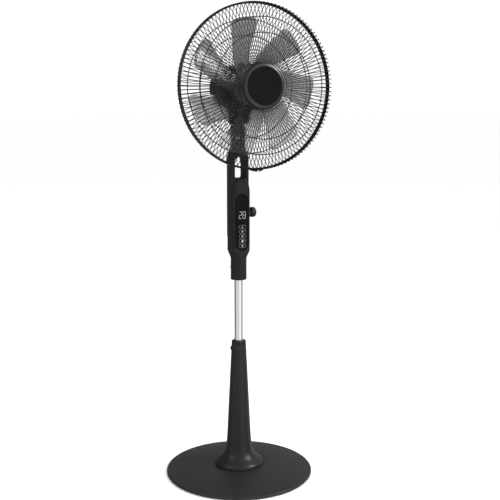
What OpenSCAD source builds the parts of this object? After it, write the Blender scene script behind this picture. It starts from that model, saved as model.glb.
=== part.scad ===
// Pedestal fan: round weighted base, tapered column, telescopic chrome pole, control
// neck with five push buttons, tilting and swinging head, seven blades in a wire guard.
// Millimetres. Origin on the floor under the pole, +Z up, the fan blows towards -Y.

/* [Base] */
// Radius of the round base
base_r = 208; // [190:1:230]
// Height of the base cover's rim above the floor
base_rim_z = 10; // [9:1:14]
// Height of the base cover where the column stands on it
base_top_z = 24; // [22:1:28]
// Thickness of the steel ballast plate
ballast_t = 3.5; // [3:0.5:6]
// Number of rubber feet
foot_count = 6; // [3:1:8]

/* [Column and pole] */
// Height of the column's top edge
column_top_z = 387; // [360:1:420]
// Radius of the column at its top
column_top_r = 20; // [19:0.5:24]
// Radius that the flare adds at the foot of the column
column_flare = 32; // [24:1:36]
// Outer radius of the chrome pole
pole_r = 12; // [10:0.5:13]
// Height of the lower end of the pole, at full height
pole_low_z = 290; // [260:1:300]
// Height that the fan can be lowered by
height_travel = 170; // [100:5:170]

/* [Neck] */
// Height of the lower end of the neck
neck_z = 562; // [560:1:580]
// Radius of the round socket at the lower end of the neck
socket_r = 22.2; // [20:0.2:24]
// Width of the neck
neck_w = 54; // [50:1:60]
// Depth of the neck
neck_d = 50; // [48:1:56]
// Radius of the neck's upright corners
neck_corner = 12; // [8:1:14]
// Height of the neck's shoulders
shoulder_z = 908; // [900:1:915]
// Wall thickness of the moulded shells
wall = 2.4; // [2:0.2:3]

/* [Control panel] */
// Width of the glossy panel
panel_w = 38; // [36:1:40]
// Height of the middle of the panel above the floor
panel_z = 724; // [720:1:730]
// Length of the panel
panel_h = 158; // [150:1:164]
// Width of one oval button
button_w = 22; // [18:1:24]
// Height of one oval button
button_h = 10.8; // [9:0.2:11.4]
// Spacing of the buttons
button_pitch = 13.2; // [12.4:0.1:14]
// Height of the lowest button above the floor
button_low_z = 659.5; // [656:0.5:664]
// Distance that a button travels
button_travel = 0.8; // [0.5:0.1:1]

/* [Head] */
// Height of the fan's axis
axis_z = 1088.7; // [1080:0.1:1100]
// Outer radius of the motor housing
motor_r = 61; // [58:1:66]
// Height of the tilt pin
tilt_z = 972; // [968:1:976]
// Depth of the tilt pin behind the pole's axis
tilt_y = 4; // [2:1:6]
// Depth of the swing axis, in front of the pole's axis
swing_y = -4; // [-6:1:-2]

/* [Guard] */
// Outer radius of the guard
guard_r = 215; // [205:1:225]
// Width of the plastic band around the guard
band_w = 20; // [16:1:24]
// Depth of the middle of the band, in front of the pole's axis
band_y = -111; // [-115:1:-108]
// Number of radial wires in each grille
wire_count = 120; // [24:12:120]
// Thickness of a grille wire
wire_d = 2; // [1.6:0.1:2.6]

/* [Blades] */
// Number of blades
blade_count = 7; // [5:1:9]
// Radius of the blade tips
blade_r = 179; // [165:1:184]
// Radius of the hub
hub_r = 46; // [40:1:48]
// Pitch angle of the blades
blade_pitch = 20; // [14:1:24]

/* [Hidden] */
$fn = 64;

// clearances: a gap between bodies, and the radial clearance of a running fit
gap = 0.3;
run_fit = 0.05;
through = 1;

// base and column
foot_h = 4;
foot_ring_r = 168;
cover_low_z = 3;
cover_t = 2.5;
base_screw_r = 2.4;
screw_post_r = 6;
rim_round = 4;
lip_z = 37.5;
flare_reach = 14.5;
taper = 0.0498;
collar_h = 12;
tube_r = 16;
glide_r = 14.2;
button_z = 366;
button_r = 6.5;
button_reach = 24.2;
lock_travel = 3;

// neck
neck_body_z = 644;
socket_top_z = 622;
inner_corner = neck_corner - wall;
ledge_z = 845;
ledge_side_z = 806;
slot_z = 845;
slot_h = 60;
slot_w = 33;
arm_front = 16;
pole_top_z = 792;
knob_z = 749;
knob_r = 14;
knob_reach = 51.6;
stud_r = 3;
gland_z = 668;
board_y = -17.6;
lens_t = 2.2;
button_count = 5;
screw_heights = [805, 831];
hub_screw_r = 50;
socket_screw_z = 599;

// fork and bracket
cheek_x = 19;
cheek_gap = 12.6;
cheek_r = 17;
pin_r = 5;
barrel_r = 15;
cup_z = tilt_z + 19.5;
cup_top_z = 1004;
cup_r = 30;
post_r = 6;
chin_r = 34;

// swing drive: module 1 gears
tooth_pitch = 1;
gear_teeth = 24;
pinion_teeth = 12;
gear_z = 1012;
gear_t = 6;
nut_top_z = 1037;
pinion_y = swing_y + (gear_teeth + pinion_teeth) / 2 * tooth_pitch;

// motor
front_y = -45;
shell_t = 2.5;
housing_end_y = 20;
shaft_r = 4;
shaft_tip_y = -111;
stator_r = 48;
air_gap = 0.5;
core_r = 26.8;
core_y = -34;
core_t = 26;
bolt_ring_r = 51.8;
shield_y = 4;
dome_y = 100;

// guard: each grille is a shallow dish that bends into a short skirt inside the band
skirt_r = 212.3;
bend = 7;
bend_from = 20;
skirt_gap = 2;
front_flat_y = -160;
front_bend_y = -133;
rear_flat_y = -50;
rear_bend_y = -94;
front_dish_start = 128;
front_dish_power = 1.6;
rear_dish_power = 3.3;
ring_a_r = 174;
ring_b_r = 134;
cap_r = 61;
cap_front_y = -162;
cap_depth = 18;
plate_r = 64;
nut_r = 33;
boss_r = 22;

// blades
hub_front_y = -95;
hub_back_y = -68;
blade_y = -90;
blade_t = 2;
blade_axis_x = -23;

// height of the base cover's top surface at radius r
function cover_z(r) = base_top_z - (base_top_z - base_rim_z) * pow(max(0, r - 60) / (base_r - 64), 2);

// outer radius of the column at height z
function column_r(z) = column_top_r + (column_top_z - z) * taper
    + column_flare * exp(-max(0, z - lip_z) / flare_reach);

// depth of a dish at radius r, flat inside radius start; side is 1 for the front grille, -1 for the rear
function dish_y(r, flat_y, bend_y, side, start, power) =
    let (end_r = skirt_r - bend * (1 - sin(bend_from)), end_y = bend_y - side * bend * cos(bend_from))
    flat_y + (end_y - flat_y) * pow(max(0, r - start) / (end_r - start), power);

// closed profile of a grille, wire_d thick: dish, bend and skirt, then back along the other face
function grille_profile(radii, flat_y, bend_y, side, start, power) =
    let (h = wire_d / 2, centre_r = skirt_r - bend, end_y = band_y - side * skirt_gap,
        face = function (s) [for (r = radii)
            [r, dish_y(r, flat_y, bend_y, side, start, power) - side * s * h]],
        arc = function (s) [for (a = steps(bend_from, 90, 3))
            [centre_r + (bend + s * h) * sin(a), bend_y - side * (bend + s * h) * cos(a)]])
    concat(face(1), arc(1), [[skirt_r + h, end_y], [skirt_r - h, end_y]],
        reversed(arc(-1)), reversed(face(-1)));

function reversed(list) = [for (i = [len(list) - 1:-1:0]) list[i]];

// count + 1 evenly spaced values
function steps(from, to, count) = [for (i = [0:count]) from + (to - from) * i / count];

module on_axis(y = 0) translate([0, y, axis_z]) rotate([90, 0, 0]) children();

// a revolved solid about the fan's axis: profile points are [radius, depth]
module spin_profile(points) {
    translate([0, 0, axis_z]) rotate([90, 0, 0]) rotate_extrude($fn = 96)
        polygon([for (p = points) [p[0], -p[1]]]);
}

module rod_x(r, x0, x1, y, z) translate([x0, y, z]) rotate([0, 90, 0]) cylinder(r = r, h = x1 - x0);
module rod_y(r, y0, y1, x, z) translate([x, y1, z]) rotate([90, 0, 0]) cylinder(r = r, h = y1 - y0);
module rod_z(r, z0, z1, x = 0, y = 0) translate([x, y, z0]) cylinder(r = r, h = z1 - z0);

module tube_z(r, bore, z0, z1, x = 0, y = 0) difference() {
    rod_z(r, z0, z1, x, y);
    rod_z(bore, z0 - through, z1 + through, x, y);
}

module tube_y(r, bore, y0, y1) difference() {
    rod_y(r, y0, y1, 0, axis_z);
    rod_y(bore, y0 - through, y1 + through, 0, axis_z);
}

module block(x0, x1, y0, y1, z0, z1) translate([x0, y0, z0]) cube([x1 - x0, y1 - y0, z1 - z0]);

// upright prism with rounded corners, centred on the pole
module rounded_prism(w, d, r, z0, z1, y = 0) translate([0, y, z0]) linear_extrude(z1 - z0) {
    square([w - 2 * r, d], center = true);
    square([w, d - 2 * r], center = true);
    for (sx = [-1, 1]) for (sy = [-1, 1]) translate([sx * (w / 2 - r), sy * (d / 2 - r)]) circle(r);
}

// flat plate with round ends in the XZ plane, from depth y0 back to y1
module stadium(w, h, y0, y1, z) {
    r = min(w, h) / 2;
    translate([0, y1, z]) rotate([90, 0, 0]) linear_extrude(y1 - y0) {
        square([w > h ? w - 2 * r : w, w > h ? h : h - 2 * r], center = true);
        for (s = [-1, 1]) translate(w > h ? [s * (w / 2 - r), 0] : [0, s * (h / 2 - r)]) circle(r);
    }
}

// ---- stand ----

module base_cover() color([0.2, 0.2, 0.21]) {
    top = [for (r = steps(36, base_r - rim_round, 18)) [r, cover_z(r)]];
    under = [for (r = steps(base_r - rim_round - 1, 36, 12)) [r, cover_z(r) - cover_t]];
    rim = [for (a = [67.5:-22.5:0])
        [base_r - rim_round + rim_round * cos(a), base_rim_z - rim_round + rim_round * sin(a)]];
    difference() {
        rotate_extrude($fn = 128)
            polygon(concat(top, rim, [[base_r, cover_low_z], [base_r - cover_t, cover_low_z]], under));
        for (i = [0:3]) rotate(45 + 90 * i) rod_z(base_screw_r + gap, 0, base_top_z + through, hub_screw_r);
    }
}

module ballast_plate() color([0.35, 0.35, 0.37]) difference() {
    rod_z(base_r - 14, foot_h - 1, foot_h - 1 + ballast_t, $fn = 128);
    for (i = [0:3]) rotate(45 + 90 * i) rod_z(base_screw_r + gap, 0, base_top_z, hub_screw_r);
}

module base_feet() color([0.06, 0.06, 0.06])
    for (i = [0:foot_count - 1]) rotate(360 / foot_count * i) rod_z(12, 0, foot_h - 1, foot_ring_r);

module base_screws() color([0.6, 0.6, 0.62]) for (i = [0:3]) rotate(45 + 90 * i) {
    rod_z(base_screw_r, foot_h - 1, base_top_z + 7, hub_screw_r);
    rod_z(5, foot_h - 3, foot_h - 1, hub_screw_r);
}

module column() color([0.17, 0.17, 0.17]) {
    low = base_top_z;
    foot_r = column_r(lip_z);
    flare_top = lip_z + 4 * flare_reach;
    heights = concat(steps(lip_z, flare_top, 16), [column_top_z - collar_h]);
    outer = [for (z = heights) [column_r(z), z]];
    inner = [for (z = reversed(heights)) [column_r(z) - wall, z]];
    difference() {
        union() {
            rotate_extrude($fn = 96) polygon(concat([[foot_r - 3, low], [foot_r - 0.6, low + 5]], outer,
                inner, [[foot_r - 5.4, low]]));
            // posts that take the screws from below, and the ring that ties them to the shell
            for (i = [0:3]) rotate(45 + 90 * i) rod_z(screw_post_r, low, low + 9, hub_screw_r);
            tube_z(foot_r - 3, hub_screw_r - 2, low + 3, low + 5);
        }
        for (i = [0:3]) rotate(45 + 90 * i) rod_z(base_screw_r, low - through, low + 7, hub_screw_r);
        rod_x(button_r + gap, -button_reach, 0, 0, button_z);
    }
}

module column_tube() color([0.55, 0.55, 0.57]) difference() {
    union() {
        rod_z(tube_r, base_top_z + gap, column_top_z - collar_h);
        rod_z(43, base_top_z + gap, base_top_z + 3);
    }
    rod_z(glide_r + run_fit, 0, column_top_z);
}

module column_collar() color([0.12, 0.12, 0.12]) difference() {
    union() {
        rod_z(column_top_r + 0.3, column_top_z - collar_h, column_top_z - 2);
        rod_z(column_top_r - 0.8, column_top_z - 2, column_top_z);
    }
    rod_z(pole_r + run_fit, 0, column_top_z + through);
}

module height_button() color([0.1, 0.1, 0.1]) {
    rod_x(button_r, -button_reach, -tube_r - lock_travel - gap, 0, button_z);
}

// ---- mast ----

module pole() color([0.8, 0.8, 0.82]) tube_z(pole_r, pole_r - 1.2, pole_low_z, pole_top_z);

module pole_glide() color([0.85, 0.85, 0.8]) {
    rod_z(glide_r, pole_low_z - 6, pole_low_z);
    rod_z(pole_r - 1.2, pole_low_z, pole_low_z + 24);
}

// outer form of the neck, solid
module neck_form() {
    rod_z(socket_r, neck_z, socket_top_z + 8);
    // shoulders between the socket and the body, in steps that close up
    for (i = [0:5]) {
        t = (i + 1) / 6;
        s = 1 - cos(90 * t);
        rounded_prism(2 * socket_r + (neck_w - 2 * socket_r) * t, 2 * socket_r + (neck_d - 2 * socket_r) * s,
            neck_corner + (socket_r - neck_corner) * (1 - t) * 0.8,
            socket_top_z + 22 * (i / 6), neck_body_z + 0.01 * i);
    }
    // full depth up to the arched ledge over the panel, then the thinner arms beside the slot
    intersection() {
        rounded_prism(neck_w, neck_d, neck_corner, neck_body_z, shoulder_z);
        union() {
            translate([0, neck_d, 0]) rotate([90, 0, 0]) linear_extrude(2 * neck_d) polygon(concat(
                [for (x = steps(-neck_w / 2, neck_w / 2, 24)) [x, ledge_top(x)]],
                [[neck_w / 2, neck_body_z], [-neck_w / 2, neck_body_z]]));
            block(-neck_w, neck_w, -arm_front, neck_d, neck_body_z, shoulder_z);
        }
    }
}

// height of the arched ledge's top edge at x
function ledge_top(x) = ledge_z - (ledge_z - ledge_side_z) * pow(2 * abs(x) / neck_w, 3);

// hollow inside the neck, around the pole and the electronics
module neck_hollow() {
    rod_z(pole_r, neck_z - through, pole_top_z);
    rounded_prism(neck_w - 2 * wall, neck_d - 2 * wall, inner_corner, neck_body_z + 4, ledge_side_z - 4);
    intersection() {
        rounded_prism(neck_w - 2 * wall, neck_d - 2 * wall, inner_corner, neck_body_z + 4, ledge_z - 4);
        block(-neck_w, neck_w, wall - arm_front, neck_d, neck_body_z, ledge_z);
    }
}

module neck_slot() {
    block(-slot_w / 2, slot_w / 2, -neck_d, neck_d, slot_z, slot_z + slot_h - slot_w / 2);
    rod_y(slot_w / 2, -neck_d, neck_d, 0, slot_z + slot_h - slot_w / 2);
}

// cross walls that hold the pole inside the neck
module neck_ribs() for (z = [690, 770, 822]) difference() {
    rounded_prism(neck_w - 2 * wall + 0.4, neck_d - 2 * wall + 0.4, inner_corner, z, z + 3);
    rod_z(pole_r, z - through, z + 4);
    block(-neck_w, neck_w, -neck_d, -pole_r - 1, z - through, z + 4);
}

module neck_body() difference() {
    union() {
        difference() {
            neck_form();
            neck_hollow();
        }
        neck_ribs();
    }
    neck_slot();
}

module neck_front() color([0.16, 0.16, 0.165]) difference() {
    intersection() {
        neck_body();
        block(-neck_w, neck_w, -neck_d, -0.05, 0, shoulder_z);
    }
    stadium(panel_w, panel_h, -neck_d, -neck_d / 2 + lens_t, panel_z);
    stadium(panel_w - 8, panel_h - 8, -neck_d, -pole_r - 2, panel_z);
    rod_x(stud_r + 1, 0, neck_w, 0, knob_z);
    rod_x(2.2, -neck_w, 0, 0, socket_screw_z);
}

module neck_rear() color([0.16, 0.16, 0.165]) difference() {
    intersection() {
        neck_body();
        block(-neck_w, neck_w, 0.05, neck_d, 0, shoulder_z);
    }
    for (z = screw_heights) rod_y(1.8, 0, neck_d, 0, z);
    for (z = screw_heights) rod_y(3.6, neck_d / 2 - 2, neck_d, 0, z);
    rod_y(5, 0, neck_d, 0, gland_z);
    rod_x(stud_r + 1, 0, neck_w, 0, knob_z);
    rod_x(2.2, -neck_w, 0, 0, socket_screw_z);
}
module neck_screws() color([0.5, 0.5, 0.5]) for (z = screw_heights) {
    rod_y(3.4, neck_d / 2 - 2, neck_d / 2 - 0.2, 0, z);
    rod_y(1.7, pole_r + 2, neck_d / 2 - 2, 0, z);
}

module socket_screw() color([0.1, 0.1, 0.1]) {
    rod_x(4.6, -socket_r - 2, -socket_r, 0, socket_screw_z);
    rod_x(2.1, -socket_r, -pole_r, 0, socket_screw_z);
}

module cord_gland() color([0.05, 0.05, 0.05]) difference() {
    union() {
        rod_y(4.95, neck_d / 2 - wall - 1, neck_d / 2 + 3, 0, gland_z);
        rod_y(7.5, neck_d / 2, neck_d / 2 + 2, 0, gland_z);
        rod_y(7.5, neck_d / 2 - wall - 2.5, neck_d / 2 - wall, 0, gland_z);
    }
    rod_y(3.4, 0, neck_d, 0, gland_z);
}

module neck_fork() color([0.16, 0.16, 0.165]) difference() {
    union() {
        rounded_prism(neck_w, neck_d / 2 + arm_front, neck_corner, shoulder_z, shoulder_z + 4,
            (neck_d / 2 - arm_front) / 2);
        for (i = [0:4]) {
            t = (i + 1) / 5;
            rounded_prism(neck_w - (neck_w - 2 * cheek_x) * sin(90 * t), 38 - 4 * t, 9,
                shoulder_z + 3, shoulder_z + 4 + 16 * t, 6 - 2 * t);
        }
        rounded_prism(2 * cheek_x, 2 * cheek_r, 9, shoulder_z + 4, tilt_z - 22, tilt_y);
        for (s = [-1, 1]) intersection() {
            union() {
                rod_x(cheek_r, -cheek_x, cheek_x, tilt_y, tilt_z);
                block(-cheek_x, cheek_x, tilt_y - cheek_r, tilt_y + cheek_r, tilt_z - 23, tilt_z);
            }
            block(s > 0 ? cheek_gap : -cheek_x, s > 0 ? cheek_x : -cheek_gap,
                -neck_d, neck_d, tilt_z - 23, tilt_z + cheek_r);
        }
    }
    rod_x(pin_r, -neck_w, neck_w, tilt_y, tilt_z);
    rod_x(barrel_r + 1, -cheek_gap, cheek_gap, tilt_y, tilt_z);
}

module control_panel() color([0.04, 0.04, 0.045]) difference() {
    stadium(panel_w - 0.2, panel_h - 0.2, -neck_d / 2, -neck_d / 2 + lens_t - 0.1, panel_z);
    for (i = [0:button_count - 1])
        stadium(button_w + 2 * gap, button_h + 2 * gap, -neck_d, 0, button_low_z + i * button_pitch);
}

module display() color([0.85, 0.9, 0.95])
    block(-13, 13, -neck_d / 2 + lens_t, board_y, 730, 758);

module control_board() color([0.1, 0.35, 0.18]) block(-14.5, 14.5, board_y, board_y + 1.6, 650, 796);

module key_switches() color([0.7, 0.7, 0.7]) for (i = [0:button_count - 1])
    let (z = button_low_z + i * button_pitch) block(-3, 3, board_y - 2.2, board_y, z - 3, z + 3);

// one oval button with the short stem that presses its switch
module push_button(index) color([0.08, 0.08, 0.09]) {
    z = button_low_z + index * button_pitch;
    stadium(button_w, button_h, -neck_d / 2 - 0.6, -neck_d / 2 + lens_t + 0.4, z);
    rod_y(1.8, -neck_d / 2 + lens_t + 0.4, board_y - 2.2 - button_travel - gap, 0, z);
}
module button_power() push_button(0);
module button_speed() push_button(1);
module button_mode() push_button(2);
module button_swing() push_button(3);
module button_timer() push_button(4);

module clamp_knob() color([0.09, 0.09, 0.09]) {
    translate([0, 0, knob_z]) rotate([0, 90, 0]) rotate_extrude($fn = 72) polygon(concat(
        [[0, neck_w / 2 + 2.4], [11, neck_w / 2 + 2.4], [11, 35], [knob_r - 1, 36]],
        [for (a = [0:15:90]) [knob_r - 5 + 5 * cos(a), knob_reach - 5 + 5 * sin(a)]],
        [[0, knob_reach]]));
    rod_x(stud_r, pole_r + 0.6, neck_w / 2 + 3, 0, knob_z);
}

module clamp_washer() color([0.7, 0.7, 0.7]) difference() {
    rod_x(9, neck_w / 2 + 0.4, neck_w / 2 + 2, 0, knob_z);
    rod_x(stud_r + run_fit, 0, neck_w, 0, knob_z);
}

module clamp_nut() color([0.75, 0.6, 0.3]) difference() {
    rod_x(6, neck_w / 2 - wall - 5, neck_w / 2 - wall, 0, knob_z, $fn = 6);
    rod_x(stud_r + run_fit, 0, neck_w, 0, knob_z);
}

module tilt_pin() color([0.6, 0.6, 0.62]) {
    rod_x(pin_r, -cheek_x - 0.2, cheek_x + 3, tilt_y, tilt_z);
    rod_x(8, -cheek_x - 2.2, -cheek_x, tilt_y, tilt_z);
}

module tilt_nut() color([0.55, 0.55, 0.57]) difference() {
    rod_x(8, cheek_x, cheek_x + 3, tilt_y, tilt_z, $fn = 6);
    rod_x(pin_r, 0, neck_w, tilt_y, tilt_z);
}

module friction_washers() color([0.75, 0.75, 0.75]) for (s = [-1, 1]) difference() {
    rod_x(12, s > 0 ? cheek_gap - 0.4 : -cheek_gap, s > 0 ? cheek_gap : -cheek_gap + 0.4, tilt_y, tilt_z);
    rod_x(pin_r, -neck_w, neck_w, tilt_y, tilt_z);
}

// ---- tilting bracket ----

module tilt_bracket() color([0.14, 0.14, 0.14]) difference() {
    half = cheek_gap - 0.4 - gap;
    union() {
        rod_x(barrel_r, -half, half, tilt_y, tilt_z);
        block(-half, half, -11, 17, tilt_z, cup_z + 1);
        translate([0, swing_y, 0]) rotate_extrude($fn = 72) polygon(concat(
            [[0, cup_z]],
            [for (a = [0:15:90]) [cup_r - 9 + 9 * sin(a), cup_z + 9 - 9 * cos(a)]],
            [[cup_r, cup_top_z], [0, cup_top_z]]));
    }
    rod_x(pin_r + run_fit, -neck_w, neck_w, tilt_y, tilt_z);
    rod_z(post_r, tilt_z + 14, cup_top_z + through, 0, swing_y);
}

module swivel_post() color([0.65, 0.65, 0.67]) rod_z(post_r, tilt_z + 14, nut_top_z + 1, 0, swing_y);

// straight-sided teeth with backlash, module 1
module gear(teeth, bore, x, y, z, turn) translate([x, y, z]) rotate(turn) difference() {
    pitch_r = teeth * tooth_pitch / 2;
    union() {
        cylinder(r = pitch_r - 1.15, h = gear_t);
        for (i = [0:teeth - 1]) rotate(360 / teeth * i) linear_extrude(gear_t)
            polygon([[pitch_r - 1.6, -1.05], [pitch_r, -0.66], [pitch_r + 0.85, -0.22],
                [pitch_r + 0.85, 0.22], [pitch_r, 0.66], [pitch_r - 1.6, 1.05]]);
    }
    translate([0, 0, -through]) cylinder(r = bore, h = gear_t + 2 * through);
}

module swing_gear() color([0.9, 0.88, 0.8]) gear(gear_teeth, post_r, 0, swing_y, gear_z, 90);

module post_nut() color([0.6, 0.6, 0.62]) difference() {
    rod_z(10, nut_top_z - 5.5, nut_top_z, 0, swing_y, $fn = 6);
    rod_z(post_r, 1000, 1050, 0, swing_y);
}

// ---- head ----

module swivel_base() color([0.13, 0.13, 0.13]) difference() {
    low = cup_top_z + 0.4;
    translate([0, swing_y, 0]) rotate_extrude($fn = 72)
        polygon([[0, low], [cup_r, low], [chin_r, 1030], [chin_r, 1052], [0, 1052]]);
    rod_y(motor_r, -60, 60, 0, axis_z, $fn = 96);
    rod_z(post_r + run_fit, low - through, 1060, 0, swing_y);
    rod_z(26.5, low + 4, 1022, 0, swing_y);
    rod_z(3.2, 1000, 1060, 0, pinion_y);
    rod_z(11, 1030.9, 1060, 0, swing_y);
}

module swing_motor() color([0.75, 0.75, 0.72]) {
    rod_z(11.5, nut_top_z + 1.5, 1052, 0, pinion_y);
    rod_z(2.6, 1030.4, nut_top_z + 1.5, 0, pinion_y);
}

module swing_pinion() color([0.9, 0.88, 0.8]) {
    gear(pinion_teeth, 0.5, 0, pinion_y, gear_z, 90 + 180 / pinion_teeth);
    rod_z(2.4, gear_z + gear_t, 1030, 0, pinion_y);
}

module motor_housing() color([0.13, 0.13, 0.135]) difference() {
    union() {
        spin_profile(concat([[boss_r - 6, front_y], [motor_r - 4, front_y]],
            [for (a = [0:22.5:90]) [motor_r - 4 + 4 * sin(a), front_y + 4 - 4 * cos(a)]],
            [[motor_r, housing_end_y], [motor_r - shell_t, housing_end_y],
             [motor_r - shell_t, front_y + 3], [boss_r - 6, front_y + 3]]));
        tube_y(boss_r, 11, front_y - 12, front_y + 10);
    }
    rod_z(chin_r - 12, 1000, axis_z - 30, 0, swing_y);
    rod_z(15, 1000, axis_z - 30, 0, pinion_y);
    for (i = [0:3]) rotate_on_axis(45 + 90 * i) rod_y(2, front_y - through, 0, bolt_ring_r, 0);
}

module rotate_on_axis(angle) translate([0, 0, axis_z]) rotate([0, angle, 0]) children();

module rear_cover() color([0.13, 0.13, 0.135]) difference() {
    start = housing_end_y + 0.2;
    spin_profile(concat(
        [[motor_r, start]], [for (a = steps(20, 90, 12)) dome_point(a, 0)],
        [for (a = steps(90, 20, 12)) dome_point(a, shell_t)], [[motor_r - shell_t, start]]));
    for (i = [0:13]) rotate_on_axis(360 / 14 * i)
        block(-1.6, 1.6, 60, dome_y + through, 17, 36);
    rod_y(2.2, 80, dome_y + through, 0, axis_z);
}

// point on the rear cover's dome, inset by t
function dome_point(a, t) = [
    (motor_r - t) * pow(cos(max(0, (a - 20) / 70 * 90)), 0.55),
    36 + (dome_y - 36 - t) * sin((a - 20) / 70 * 90)];

module motor_bolts() color([0.6, 0.6, 0.6]) for (i = [0:3]) rotate_on_axis(45 + 90 * i) {
    rod_y(1.9, front_y, shield_y + 8, bolt_ring_r, 0);
    rod_y(3.2, shield_y + 4, shield_y + 8, bolt_ring_r, 0);
}

module stator_core() color([0.45, 0.45, 0.47]) tube_y(stator_r, core_r + air_gap, core_y, core_y + core_t);

module stator_windings() color([0.72, 0.4, 0.2]) for (y = [core_y - 6, core_y + core_t])
    tube_y(stator_r - 4, core_r + 3, y, y + 6);

module front_bearing() color([0.7, 0.55, 0.3]) tube_y(11, shaft_r + run_fit, front_y - 2, front_y + 8);

module rear_bearing() color([0.7, 0.55, 0.3]) tube_y(11, shaft_r + run_fit, shield_y, shield_y + 9);

module end_shield() color([0.5, 0.5, 0.52]) difference() {
    union() {
        rod_y(motor_r - shell_t - 0.2, shield_y, shield_y + 4, 0, axis_z);
        rod_y(16, shield_y, shield_y + 9, 0, axis_z);
    }
    rod_y(11, -20, 40, 0, axis_z);
    for (i = [0:3]) rotate_on_axis(45 + 90 * i) rod_y(1.9, -20, 40, bolt_ring_r, 0);
    block(-15, 15, 0, 30, axis_z - motor_r, axis_z - 36);
}

module motor_capacitor() color([0.85, 0.85, 0.82]) block(-20, 20, 16, 42, axis_z + 20, axis_z + 38);

// pattern of radial wires and rings, seen along the fan's axis
module wire_pattern(inner) {
    for (i = [0:wire_count / 2 - 1]) rotate(360 / wire_count * i) difference() {
        square([2 * guard_r, wire_d], center = true);
        circle(inner - 2);
    }
    for (r = [ring_b_r, ring_a_r]) ring_2d(r + wire_d / 2, r - wire_d / 2);
    ring_2d(inner, inner - 4);
}

module ring_2d(outer, inner) difference() {
    circle(outer, $fn = 128);
    circle(inner, $fn = 128);
}

// dish of wires cut from a revolved shell, with the end ring that lies inside the band
module grille(inner, start, flat_y, bend_y, side, power) {
    radii = concat([inner - 6], steps(start, skirt_r - bend * (1 - sin(bend_from)) - 2, 4));
    end_y = band_y - side * skirt_gap;
    intersection() {
        spin_profile(grille_profile(radii, flat_y, bend_y, side, start, power));
        on_axis() linear_extrude(200) wire_pattern(inner);
    }
    tube_y(skirt_r - 0.4, skirt_r - 1.6, min(end_y, end_y - side * 2), max(end_y, end_y - side * 2));
}

module rear_grille() color([0.07, 0.07, 0.07]) {
    grille(plate_r, plate_r, rear_flat_y, rear_bend_y, -1, rear_dish_power);
    tube_y(plate_r - 1, boss_r + 0.2, rear_flat_y - 1, rear_flat_y + 1);
}

module grille_nut() color([0.1, 0.1, 0.1]) difference() {
    tube_y(nut_r, boss_r, rear_flat_y - 6, rear_flat_y - 1);
    for (i = [0:5]) rotate_on_axis(60 * i) rod_y(3, -80, 0, nut_r, 0);
}

module front_grille() color([0.07, 0.07, 0.07])
    grille(cap_r + 4.2, front_dish_start, front_flat_y, front_bend_y, 1, front_dish_power);

module guard_cap() color([0.12, 0.12, 0.12]) spin_profile([[0, cap_front_y + 1], [49, cap_front_y + 1],
    [50, cap_front_y], [52, cap_front_y], [cap_r, cap_front_y + 6], [cap_r, cap_front_y + cap_depth],
    [cap_r - 2.8, cap_front_y + cap_depth], [cap_r - 2.8, cap_front_y + 7], [0, cap_front_y + 5]]);

// hoop around both skirts; the rib inside keeps the grilles' end rings apart
module rim_band() color([0.08, 0.08, 0.08]) {
    near = band_y - band_w / 2;
    far = band_y + band_w / 2;
    inner = guard_r - 1.4;
    rib = skirt_gap - gap;
    spin_profile([[inner, near], [guard_r - 0.6, near], [guard_r, near + 1.2], [guard_r, far - 1.2],
        [guard_r - 0.6, far], [inner, far], [inner, band_y + rib], [inner - 3, band_y + rib],
        [inner - 3, band_y - rib], [inner, band_y - rib]]);
}

module rim_clip() color([0.08, 0.08, 0.08]) difference() {
    intersection() {
        block(-15, 15, band_y - 12, band_y + 12, axis_z - guard_r - 5, axis_z - guard_r + 3);
        difference() {
            rod_y(guard_r + 4.6, band_y - 12, band_y + 12, 0, axis_z, $fn = 128);
            rod_y(guard_r, band_y - 20, band_y + 20, 0, axis_z, $fn = 128);
        }
    }
    rod_y(1.6, band_y - 20, band_y, 0, axis_z - guard_r - 2.4);
}

module clip_screw() color([0.6, 0.6, 0.6]) {
    rod_y(1.6, band_y - 12, band_y, 0, axis_z - guard_r - 2.4);
    rod_y(2.1, band_y - 13.6, band_y - 12, 0, axis_z - guard_r - 2.4);
}

// ---- rotor ----

module motor_shaft() color([0.75, 0.75, 0.77]) {
    rod_y(shaft_r, shaft_tip_y, shield_y + 16, 0, axis_z);
    // drive pin behind the hub
    rod_z(1.2, axis_z - 8, axis_z + 8, 0, hub_front_y + 7);
}

module rotor_core() color([0.5, 0.5, 0.52]) tube_y(core_r, shaft_r, core_y, core_y + core_t);

// angle of a blade's two edges at radius r, in degrees from its own mark
function lead_angle(r) = -3 + 11 * (r - 60) / 120;
function trail_angle(r) = -53 + 30 * sin(90 * (r - 60) / 120);

// outline of one blade, flat: swept forward, wider at the tip, with rounded corners
module blade_outline() {
    root = hub_r - 3;
    shoulder = blade_r - 16;
    polygon(concat(
        [for (r = steps(root, shoulder, 8)) polar(r, lead_angle(r))],
        [for (a = [15:15:75]) polar(shoulder + 16 * sin(a), lead_angle(shoulder) - 5 * (1 - cos(a)))],
        [for (t = steps(0, 1, 6)) polar(blade_r, lead_angle(shoulder) - 5
            + (trail_angle(shoulder) + 8 - lead_angle(shoulder) + 5) * t)],
        [for (a = [75:-15:15]) polar(shoulder + 16 * sin(a), trail_angle(shoulder) + 8 * (1 - cos(a)))],
        [for (r = steps(shoulder, root, 8)) polar(r, trail_angle(r))]));
}

function polar(r, angle) = [r * sin(angle), r * cos(angle)];

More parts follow.
